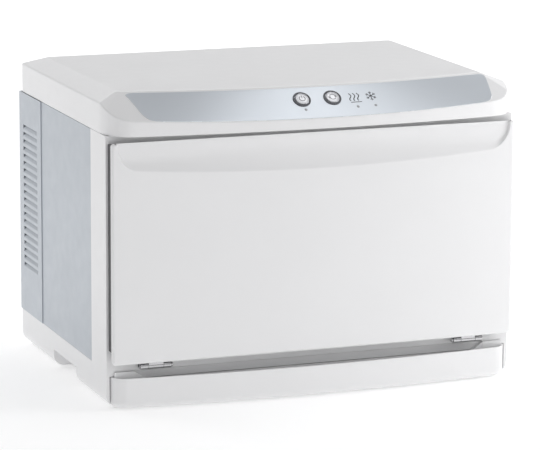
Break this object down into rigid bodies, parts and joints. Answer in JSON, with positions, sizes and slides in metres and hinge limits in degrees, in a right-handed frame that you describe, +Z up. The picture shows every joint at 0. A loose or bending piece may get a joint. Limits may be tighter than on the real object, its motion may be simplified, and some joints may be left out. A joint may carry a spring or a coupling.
{
  "type": "hot towel cabinet",
  "caption": "Bench-top towel warming and cooling cabinet: insulated metal chamber, drop-down door, sloping control strip, drip tray, side louvres and rear fan.",
  "frame": {"origin": "middle of the footprint at bench level", "axes": "+X to the right seen from the front, +Y to the back (the door faces -Y), +Z up"},
  "size_m": [0.452, 0.3454, 0.325],
  "materials": {
    "white_moulding": "satin moulded",
    "silver_sheet": "satin silver paint",
    "fascia_film": "brushed metallic film",
    "fasteners": "zinc plated",
    "ring_black": "gloss",
    "button_silver": "metallised",
    "led_lens": "smoked lens",
    "circuit_board": "solder resist",
    "switch_black": "moulded",
    "door_back": "textured",
    "liner_white": "satin moulded",
    "foam": "expanded foam",
    "gasket_rubber": "matte",
    "magnet": "ferrite",
    "hinge_steel": "polished",
    "aluminium": "natural",
    "heater_film": "silicone sheet",
    "ceramic": "ceramic",
    "fan_black": "moulded",
    "guard_wire": "plated wire",
    "sensor_metal": "stamped"
  },
  "bodies": {
    "cabinet": {"front_frame": "white_moulding", "base_pan": "white_moulding", "side_panel_left": "silver_sheet", "side_panel_right": "silver_sheet", "rear_cover": "silver_sheet", "rear_cover_screws": "fasteners", "top_cover": "white_moulding", "control_fascia": "fascia_film", "button_rings": "ring_black", "led_power": "led_lens", "led_hot": "led_lens", "led_cool": "led_lens", "control_board": "circuit_board", "tact_switches": "switch_black", "wiring_harness": "switch_black", "strike_plates": "hinge_steel", "hinge_bracket_left": "hinge_steel", "hinge_bracket_right": "hinge_steel", "hinge_pin_left": "hinge_steel", "hinge_pin_right": "hinge_steel", "hinge_bracket_screws": "fasteners", "inner_chamber": "aluminium", "foam_jacket": "foam", "heater_sheet": "heater_film", "cold_block": "aluminium", "peltier_module": "ceramic", "heat_sink": "aluminium", "fan_frame": "fan_black", "fan_guard": "guard_wire", "fan_screws": "fasteners", "cord_bushing": "switch_black", "power_supply": "circuit_board", "standoffs": "fasteners", "thermal_cutout": "sensor_metal", "temperature_sensor": "sensor_metal", "wire_rack": "guard_wire", "rubber_feet": "gasket_rubber"},
    "door": {"door_skin": "white_moulding", "door_back_frame": "door_back", "door_liner": "liner_white", "door_foam": "foam", "door_gasket": "gasket_rubber", "door_magnets": "magnet", "hinge_leaf_left": "hinge_steel", "hinge_leaf_right": "hinge_steel", "hinge_leaf_screws": "fasteners"},
    "tray": {"drip_tray": "white_moulding"},
    "power_key": {"power_button": "button_silver"},
    "mode_key": {"mode_button": "button_silver"},
    "rotor": {"fan_rotor": "fan_black"}
  },
  "joints": [
    {"name": "door_hinge", "type": "hinge", "parent": "cabinet", "child": "door", "pos_m": [0, -0.1533, 0.045], "axis": [1, 0, 0], "range_deg": [0, 90]},
    {"name": "tray_slide", "type": "slide", "parent": "cabinet", "child": "tray", "axis": [0, -1, 0], "range_m": [0, 0.045]},
    {"name": "power_press", "type": "slide", "parent": "cabinet", "child": "power_key", "axis": [0, 0.6456, -0.7636], "range_m": [0, 0.001], "stiffness_N_per_m": 600, "springref_m": -0.0005},
    {"name": "mode_press", "type": "slide", "parent": "cabinet", "child": "mode_key", "axis": [0, 0.6456, -0.7636], "range_m": [0, 0.001], "stiffness_N_per_m": 600, "springref_m": -0.0005},
    {"name": "fan_spin", "type": "hinge", "parent": "cabinet", "child": "rotor", "pos_m": [0, 0.1507, 0.165], "axis": [0, 1, 0], "continuous": true}
  ]
}
